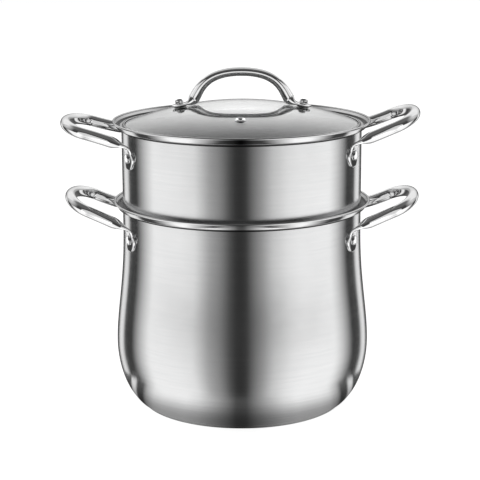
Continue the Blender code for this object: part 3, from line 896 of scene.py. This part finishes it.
def arch_half():
    """Fine stations from the right foot's outer end up to the crown of the lid handle."""
    across = Vector((0.0, 1.0, 0.0))
    square = Vector((math.sin(LEAN), 0.0, math.cos(LEAN)))
    inward = Vector((-math.cos(LEAN), 0.0, math.sin(LEAN)))
    screw = Vector((SCREW_X, 0.0, dome_height(SCREW_X))) + square * foot_level()
    stations = pressed_end(screw, inward, across, square, LID_FOOT_R, LID_FOOT_T, 0.0)

    corner = screw + inward * ((screw.x - ANKLE_X) / math.cos(LEAN))
    leg = Vector((-math.cos(LEG_ANGLE), 0.0, math.sin(LEG_ANGLE)))
    bend_start = mix(corner, screw, min(ANKLE_BEND / (corner - screw).length, ANKLE_ROOM))
    bend_end = corner + leg * ANKLE_BEND
    crown = Vector((0.0, 0.0, DOME_TOP + ARCH_RISE))
    bend = (bend_start, mix(bend_start, corner, ANKLE_PULL), mix(bend_end, corner, ANKLE_PULL), bend_end)
    crown_pull = crown + Vector((CROWN_REACH, 0.0, 0.0))
    arch = (bend_end, bend_end + leg * SHOULDER_REACH, crown_pull, crown)
    path = [bezier(*bend, i / ANKLE_STEPS) for i in range(ANKLE_STEPS + 1)]
    path += [bezier(*arch, i / ARCH_STEPS) for i in range(1, ARCH_STEPS + 1)]

    # The tube thins a little over the ankle's bend, and by the rest of the way over the arch
    ankle_end, arch_start, crown_end = 1, 4, 13
    thinning = [mix(0, ankle_end, i / ANKLE_STEPS) for i in range(ANKLE_STEPS + 1)]
    thinning += [mix(arch_start, crown_end, i / ARCH_STEPS) for i in range(1, ARCH_STEPS + 1)]
    travelled = 0.0
    before = path[0][0]
    for (point, direction), step in zip(path, thinning):
        travelled += (point - before).length
        before = point
        press = ease(travelled / ANKLE_PRESS)
        tube = mix(LEG_R, ARCH_R, ease(step / crown_end))
        half_w = mix(LID_FOOT_R * FOOT_NARROWING, tube, press)
        half_t = mix(LID_FOOT_T / 2, tube, press)
        thick = across.cross(direction).normalized()
        power = mix(PRESSED, TUBULAR, press ** ANKLE_ROUNDING)
        stations.append((point, across, thick, half_w, half_t, power, 0.0))
    return stations


def make_arch():
    rings = raised([section(station) for station in arch_half()], LID_Z)
    rings += mirrored(reversed(rings[:-1]), -1, 1)
    lofted("lid_arch", rings, [BRIGHT], "lid", ["lid_handle"])


def make_fixing(where, place):
    """Washers, screw and cap nut at one foot of the handle."""
    bore = SHANK_R + GAP
    lower_top = -GLASS_T - GAP
    head_top = lower_top - LOWER_WASHER_T - GAP
    nut_base = foot_level() + LID_FOOT_T / 2 + GAP
    screw_top = nut_base + 0.002
    nut_flank = NUT_R * 0.92

    for name, low, high in (
        ("upper", GAP, GAP + UPPER_WASHER_T),
        ("lower", lower_top - LOWER_WASHER_T, lower_top),
    ):
        ring = rounded([
            (bore, high, 0.0),
            (WASHER_R, high, EASED),
            (WASHER_R, low, EASED),
            (bore, low, 0.0),
        ], closed=True)
        turned(f"lid_ring_{name}_{where}", ring, [SILICONE], "lid",
               [f"lid_washer_{name}_{where}"], SMALL_ROUND, True, place)
    screw = rounded([
        (0.0, screw_top, 0.0),
        (SHANK_R, screw_top, EASED),
        (SHANK_R, head_top, 0.0),
        (SCREW_HEAD_R, head_top, EASED),
        (SCREW_HEAD_R, head_top - SCREW_HEAD_H * 0.5, SCREW_HEAD_FILLET),
        (SCREW_HEAD_R * 0.7, head_top - SCREW_HEAD_H, FULL),
        (0.0, head_top - SCREW_HEAD_H, 0.0),
    ])
    turned(f"lid_bolt_{where}", screw, [SMALL_BRIGHT], "lid", [f"lid_screw_{where}"],
           SMALL_ROUND, place=place)
    nut = domed(nut_flank, nut_base + NUT_H, NUT_DOME, NUT_STEPS) + rounded([
        (nut_flank, nut_base + NUT_H, 0.0),
        (NUT_R, nut_base + NUT_H - EASED, CRISP),
        (NUT_R, nut_base, EASED),
        (bore, nut_base, 0.0),
    ])[1:]
    turned(f"lid_nut_{where}", nut, [SMALL_BRIGHT], "lid", [f"lid_cap_nut_{where}"],
           SMALL_ROUND, place=place)


def make_vent():
    """Rolled eyelet: a full round flange on top, barrel, and clenched lip below."""
    low_r = (VENT_BARREL_R + VENT_FLANGE_R) / 2
    bottom = -GLASS_T - GAP
    profile = rounded([
        (VENT_HOLE_R, GAP + VENT_FLANGE_T * 0.5, FULL),
        (VENT_BARREL_R, GAP + VENT_FLANGE_T + VENT_CROWN, VENT_ROLL),
        (VENT_FLANGE_R, GAP + VENT_FLANGE_T * 0.5, EASED),
        (VENT_FLANGE_R, GAP, CRISP),
        (VENT_BARREL_R, GAP, 0.0),
        (VENT_BARREL_R, bottom, 0.0),
        (low_r, bottom, CRISP),
        (low_r, bottom - VENT_FLANGE_T, SOFT),
        (VENT_HOLE_R, bottom - VENT_FLANGE_T, EASED),
    ], closed=True)
    turned("lid_vent", profile, [SMALL_BRIGHT], "lid", ["lid_vent_grommet"],
           SMALL_ROUND, True, dome_place(-VENT_LEAN, "X"))


make_pot()
make_base()
make_steamer()
for side, drop, rise, tilt in POT_LOOPS:
    make_loop("pot", side, pot_wall_radius, POT_H - drop, 0.0, rise, math.radians(tilt))
for side, drop, rise, tilt in STEAMER_LOOPS:
    make_loop("steamer", side, steamer_wall_radius, STEAMER_H - drop, STEAMER_Z, rise, math.radians(tilt))
make_glass()
make_band()
make_arch()
make_fixing("left", dome_place(-LEAN, "Y"))
make_fixing("right", dome_place(LEAN, "Y"))
make_vent()

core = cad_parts["pot_base_core"]
core.data.materials.clear()
core.data.materials.append(ALUMINIUM)


# Studio

# Greys that the steel mirrors, by degrees round the horizon from the back, with the front at 0
AROUND = [
    (-180, 0.12), (-164, 0.05), (-156, 0.10), (-150, 0.80), (-140, 0.75), (-135, 0.05), (-119, 0.035),
    (-110, 0.36), (-101, 0.68), (-92, 0.98), (-60, 0.95), (-45, 0.88), (-30, 0.42), (-20, 0.27),
    (-11, 0.09), (-5, 0.035), (0, 0.03), (5, 0.045), (11, 0.17), (20, 0.36), (30, 0.66), (45, 0.90),
    (60, 1.0), (93, 1.0), (102, 0.72), (111, 0.38), (120, 0.04), (136, 0.05), (141, 0.70), (151, 0.85),
    (157, 0.06), (180, 0.12),
]

# Greys of the bands below the horizon and of the ground, and where the ground takes over from the bands,
# by degrees of height or by degrees from the front to either side
BANDS = [(-90, 0.05), (-73, 0.05), (-62, 1.0), (0, 1.0), (4, 0.0), (90, 0.0)]
GROUND = [(-90, 0.04), (-73, 0.05), (-62, 1.0), (90, 1.0)]
GROUND_AROUND = [
    (0, 1.0), (104, 1.0), (118, 0.3), (125, 0.05), (137, 0.05), (143, 0.8), (152, 0.8), (158, 0.05),
    (180, 0.05),
]
GROUND_HEIGHT = [(-90, 1.0), (-42, 1.0), (-30, 0.0), (90, 0.0)]
GROUND_SIDES = [(0, 0.0), (60, 0.0), (85, 1.0), (180, 1.0)]

# Greys of the sky by degrees of height, in front and behind, and where it changes from one to the other
SKY_FRONT = [(-90, 0.0), (0, 0.0), (4, 0.04), (40, 0.06), (62, 0.12), (90, 0.10)]
SKY_BEHIND = [
    (-90, 0.0), (0, 0.0), (4, 0.36), (12, 0.44), (20, 0.6), (26, 0.6), (40, 0.6), (60, 0.15), (90, 0.10),
]
BEHIND = [(0, 0.0), (70, 0.0), (115, 1.0), (180, 1.0)]

# Greys of the floor as the pot's steel mirrors it, by metres outwards and by degrees from the front; the
# darkening towards the pot is painted shadow of the pot
OUTWARDS = [
    (0.0, 0.28), (0.112, 0.31), (0.1195, 0.35), (0.1267, 0.47), (0.1354, 0.66), (0.1437, 0.82),
    (0.155, 1.0), (0.17, 1.0),
]
SIDEWAYS = [
    (0, 0.08), (3, 0.09), (6, 0.17), (11, 0.32), (17, 0.52), (25, 0.82), (33, 1.0), (50, 1.0), (58, 0.9),
    (66, 0.5), (71, 0.08), (79, 0.08), (82, 0.8), (88, 0.8), (91, 0.08), (180, 0.08),
]
MIRRORED_STRENGTH = 1.2
GLEAM_SIDES = 96
GLEAM_Z = -0.001
FLOOR_REACH = 6.0

# The glow behind the lid: its place, how far it spreads either way, and the card that carries it
GLOW_PLACE = (0.0, 2.5, 1.69)
GLOW_WIDE = 0.72
GLOW_HIGH = 1.03
GLOW_STRENGTH = 2.1
CARD_LEFT, CARD_RIGHT, CARD_LOW, CARD_TOP = -2, 2, -2, 2.4

# Groups of pieces that get lights of their own
ENDS = [(vessel, where) for vessel in ("pot", "steamer") for where in ("left", "right")]
LOOPS = [f"{vessel}_loop_{where}" for vessel, where in ENDS]
RIVETS = [f"{vessel}_rivet_{where}_{end}_head" for vessel, where in ENDS for end in ("front", "back")]
ARCH = ["lid_arch"]
TOP_FITTINGS = ["lid_vent", "lid_nut_left", "lid_nut_right"]

# Soft boxes: name, width and height, middle, the point that each faces, radiance, and all that it lights
SOFT_BOXES = [
    ("under_front", (3.6, 2.5), (0.0, -1.62, 0.25), (0.0, -0.72, 0.63), 0.7, LOOPS),
    ("front_strip", (2.6, 2.1), (0.0, -1.35, -0.33), (0.0, 0.0, 0.33), 0.9, ARCH),
    ("beside_lid_1", (2.4, 1.1), (-1.56, -0.73, 0.86), (0.0, 0.0, 0.33), 0.8, ARCH),
    ("beside_lid_3", (2.4, 1.1), (1.56, -0.73, 0.86), (0.0, 0.0, 0.33), 0.8, ARCH),
    ("beside_rivets_1", (1.3, 1.5), (-1.50, 0.55, 0.15), (0.0, 0.0, 0.25), 1.0, RIVETS),
    ("beside_rivets_3", (1.3, 1.5), (1.50, 0.55, 0.15), (0.0, 0.0, 0.25), 1.0, RIVETS),
    ("over_back", (4.0, 1.9), (0.0, 1.64, 1.4), (0.0, 0.0, 0.25), 0.25, LOOPS),
    ("over_lid", (4.0, 1.9), (0.0, 1.64, 1.4), (0.0, 0.0, 0.25), 0.6, ARCH + TOP_FITTINGS),
    ("overhead", (4.0, 1.5), (0.0, 0.2, 2.3), (0.0, 0.0, 0.3), 0.5, ARCH),
]

# Camera as fitted to the photograph: focal length in pixels, place before it is turned about the pot's
# axis, and its dip and roll
PHOTO_WIDTH = 480
FOCAL_PIXELS = 1511.2
SENSOR_WIDTH = 36.0
CAMERA_PLACE = (-0.002, -1.5102, 0.5091)
CAMERA_TURN = math.radians(0.9)
CAMERA_DIP = 0.223
CAMERA_ROLL = math.radians(-0.24)


def shaded(nodes, value, stops, unit=math.radians(1)):
    """Greys from a ramp of (position, grey) stops, whose positions are in the unit given."""
    low = stops[0][0]
    span = stops[-1][0] - low
    share = ranged(nodes, value, 0.0, 1.0, low * unit, (low + span) * unit)
    ramp = nodes.add("ShaderNodeValToRGB", {"Fac": share})
    elements = ramp.color_ramp.elements
    elements.remove(elements[-1])
    elements[0].position = 0.0
    elements[0].color = (stops[0][1],) * 3 + (1,)
    for position, grey in stops[1:]:
        elements.new((position - low) / span).color = (grey,) * 3 + (1,)
    return ramp.outputs["Color"]


def blend(nodes, kind, share, one, two):
    """Two colours mixed, through the Mix node's factor and its colour sockets."""
    both = nodes.add("ShaderNodeMix", {0: share, 6: one, 7: two}, data_type="RGBA", blend_type=kind)
    return both.outputs[2]


def bearings(nodes, vector):
    """Angle from the front round the vertical, with its sign and without, and the upward part."""
    parts = nodes.add("ShaderNodeSeparateXYZ", {"Vector": vector})
    forward = nodes.calc("MULTIPLY", parts.outputs["Y"], -1.0)
    around = nodes.calc("ARCTAN2", parts.outputs["X"], forward)
    return around, nodes.calc("ABSOLUTE", around), parts.outputs["Z"]


def make_world():
    """Soft boxes at both sides with dark flags in front and behind, and plain white behind it all."""
    world = bpy.data.worlds.new("studio")
    bpy.context.scene.world = world
    world.use_nodes = True
    world.node_tree.nodes.clear()
    nodes = Nodes(world.node_tree)
    direction = nodes.add("ShaderNodeTexCoord").outputs["Generated"]
    around, aside, rise = bearings(nodes, direction)
    height = nodes.calc("ARCSINE", rise)

    def product(one, two):
        return blend(nodes, "MULTIPLY", 1.0, one, two)

    bands = product(shaded(nodes, around, AROUND), shaded(nodes, height, BANDS))
    ground = product(shaded(nodes, height, GROUND), shaded(nodes, aside, GROUND_AROUND))
    beneath = product(shaded(nodes, height, GROUND_HEIGHT), shaded(nodes, aside, GROUND_SIDES))
    lower = blend(nodes, "MIX", beneath, bands, ground)
    behind = shaded(nodes, aside, BEHIND)
    upper = blend(nodes, "MIX", behind, shaded(nodes, height, SKY_FRONT), shaded(nodes, height, SKY_BEHIND))
    whole = blend(nodes, "ADD", 1.0, lower, upper)
    lit = nodes.add("ShaderNodeBackground", {"Color": whole, "Strength": MIRRORED_STRENGTH})
    plain = nodes.add("ShaderNodeBackground", {"Color": (1, 1, 1, 1), "Strength": 1.0})
    seen = nodes.add("ShaderNodeLightPath").outputs["Is Camera Ray"]
    choose = nodes.add("ShaderNodeMixShader", {0: seen, 1: lit.outputs[0], 2: plain.outputs[0]})
    nodes.add("ShaderNodeOutputWorld", {"Surface": choose.outputs[0]})


def flat_piece(name, corners, material):
    """One flat face of the studio."""
    mesh = bpy.data.meshes.new(name)
    mesh.from_pydata(corners, [], [tuple(range(len(corners)))])
    mesh.materials.append(material)
    return placed(name, mesh)


def glowing_material(name):
    """A new material without nodes, and a way to add them."""
    made = bpy.data.materials.new(name)
    made.use_nodes = True
    made.node_tree.nodes.clear()
    return made, Nodes(made.node_tree)


def leave_to_reflections(piece):
    """Hides a piece of the studio from all but the steel and glass that mirror it."""
    piece.visible_camera = False
    piece.visible_diffuse = False
    piece.visible_shadow = False
    piece.visible_transmission = False


def reach_only(source, names):
    """Has a light or a glowing card reach the named pieces alone."""
    group = bpy.data.collections.new(f"{source.name}_lit")
    for name in names:
        group.objects.link(bpy.data.objects[name])
    source.light_linking.receiver_collection = group


def make_floor():
    """Pale floor, nearly as light as the background, darker only under the pot."""
    made, nodes, shader, place = surface_material("pale_floor")
    cloud = noise(nodes, place, 3.0, 2.0, 0.5)
    nodes.fill(shader, {
        "Base Color": two_tone(nodes, cloud, (0.86, 0.86, 0.86), (0.90, 0.90, 0.90)),
        "Roughness": 0.9,
        "Specular IOR Level": 0.0,
        "Emission Color": (1, 1, 1, 1),
        "Emission Strength": 0.92,
    })
    signs = ((-1, -1), (1, -1), (1, 1), (-1, 1))
    floor = flat_piece("floor", [(x * FLOOR_REACH, y * FLOOR_REACH, 0) for x, y in signs], made)
    floor.visible_glossy = False


def make_floor_gleam():
    """The floor as the pot's steel mirrors it, which only reflections see: a glowing disc with painted
    shadow, darker near the pot.
    """
    reach = OUTWARDS[-1][0]
    made, nodes = glowing_material("floor_gleam")
    place = nodes.add("ShaderNodeTexCoord").outputs["Object"]
    distance = nodes.add("ShaderNodeVectorMath", {0: place}, operation="LENGTH").outputs["Value"]
    outwards = shaded(nodes, distance, OUTWARDS, 1.0)
    sideways = shaded(nodes, bearings(nodes, place)[1], SIDEWAYS)
    colour = blend(nodes, "MULTIPLY", 1.0, outwards, sideways)
    glow = nodes.add("ShaderNodeEmission", {"Color": colour, "Strength": MIRRORED_STRENGTH})
    nodes.add("ShaderNodeOutputMaterial", {"Surface": glow.outputs[0]})
    turns = [2 * math.pi * i / GLEAM_SIDES for i in range(GLEAM_SIDES)]
    ring = [(reach * math.cos(turn), reach * math.sin(turn), GLEAM_Z) for turn in turns]
    gleam = flat_piece("floor_gleam", ring, made)
    leave_to_reflections(gleam)


def make_backlight():
    """A soft round glow behind the lid, which only the glass, the vent and the cap nuts mirror."""
    made, nodes = glowing_material("backlight")
    place = nodes.add("ShaderNodeTexCoord").outputs["Object"]
    spread = nodes.add("ShaderNodeMapping", {"Vector": place, "Scale": (1 / GLOW_WIDE, 0.0, 1 / GLOW_HIGH)})
    out = spread.outputs["Vector"]
    squared = nodes.add("ShaderNodeVectorMath", {0: out, 1: out}, operation="DOT_PRODUCT").outputs["Value"]
    fall = nodes.calc("POWER", math.exp(-1), squared)
    glow = nodes.add("ShaderNodeEmission", {"Strength": nodes.calc("MULTIPLY", fall, GLOW_STRENGTH)})
    clear = nodes.add("ShaderNodeBsdfTransparent")
    both = nodes.add("ShaderNodeAddShader", {0: glow.outputs[0], 1: clear.outputs[0]})
    nodes.add("ShaderNodeOutputMaterial", {"Surface": both.outputs[0]})
    corners = [(CARD_LEFT, 0, CARD_LOW), (CARD_RIGHT, 0, CARD_LOW), (CARD_RIGHT, 0, CARD_TOP),
               (CARD_LEFT, 0, CARD_TOP)]
    card = flat_piece("backlight", corners, made)
    card.location = GLOW_PLACE
    leave_to_reflections(card)
    reach_only(card, ["lid_dome"] + TOP_FITTINGS)


def soft_box(name, size, middle, facing, radiance, lit):
    """A rectangular area light that only lights the named pieces, and isn't seen itself."""
    data = bpy.data.lights.new(name, "AREA")
    data.shape = "RECTANGLE"
    data.size, data.size_y = size
    data.energy = radiance * math.pi * size[0] * size[1]
    light = placed(name, data)
    middle = Vector(middle)
    turn = (Vector(facing) - middle).to_track_quat("-Z", "Y").to_matrix().to_4x4()
    light.matrix_world = Matrix.Translation(middle) @ turn
    light.visible_camera = False
    reach_only(light, lit)


def make_camera():
    data = bpy.data.cameras.new("camera")
    data.sensor_width = SENSOR_WIDTH
    data.lens = FOCAL_PIXELS / PHOTO_WIDTH * SENSOR_WIDTH
    data.clip_start = 0.05
    data.clip_end = 40.0
    camera = placed("camera", data)
    camera.matrix_world = (
        Matrix.Rotation(CAMERA_TURN, 4, "Z")
        @ Matrix.Translation(CAMERA_PLACE)
        @ Matrix.Rotation(math.pi / 2 - CAMERA_DIP, 4, "X")
        @ Matrix.Rotation(CAMERA_ROLL, 4, "Z")
    )
    bpy.context.scene.camera = camera


make_world()
make_floor()
make_floor_gleam()
for box in SOFT_BOXES:
    soft_box(*box)
make_backlight()
make_camera()
bpy.context.scene.view_settings.view_transform = "Standard"

bpy.context.view_layer.update()
